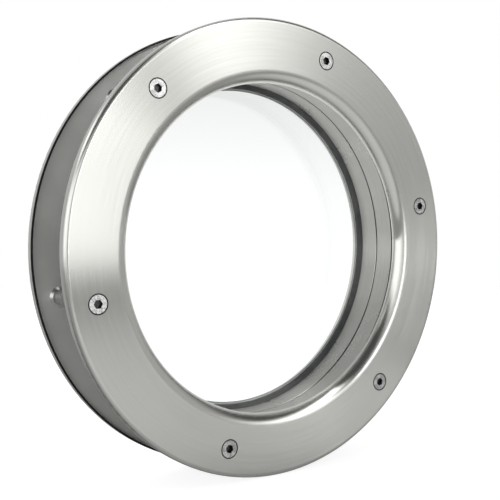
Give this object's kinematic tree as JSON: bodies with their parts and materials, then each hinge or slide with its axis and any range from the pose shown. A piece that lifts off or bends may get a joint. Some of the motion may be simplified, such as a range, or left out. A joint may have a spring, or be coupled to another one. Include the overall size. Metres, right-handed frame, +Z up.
{
  "type": "door porthole window",
  "caption": "Round stainless steel porthole window for a door: pressed flanges screwed together clamp the leaf and hold a glass pane in a lined bore.",
  "frame": {"origin": "middle of the window, on its axis and halfway through the clamped leaf", "axes": "+Y along the ring's axis from the screwed front to the plain rear, +Z up"},
  "size_m": [0.3, 0.058, 0.3],
  "materials": {
    "flange_steel": "satin, brushed around the ring",
    "liner_steel": "matt brushed",
    "sleeve_steel": "turned",
    "screw_steel": "bright",
    "clear_glass": "polished",
    "black_rubber": "matt"
  },
  "bodies": {
    "root": {"front_flange": "flange_steel", "rear_flange": "flange_steel", "front_liner_ring": "liner_steel", "rear_liner_ring": "liner_steel", "glass_pane": "clear_glass", "glazing_gasket": "black_rubber", "front_packing_ring": "black_rubber", "front_lip_seal": "black_rubber", "rear_lip_seal": "black_rubber", "threaded_sleeves": "sleeve_steel", "clamp_screws": "screw_steel"}
  },
  "joints": []
}
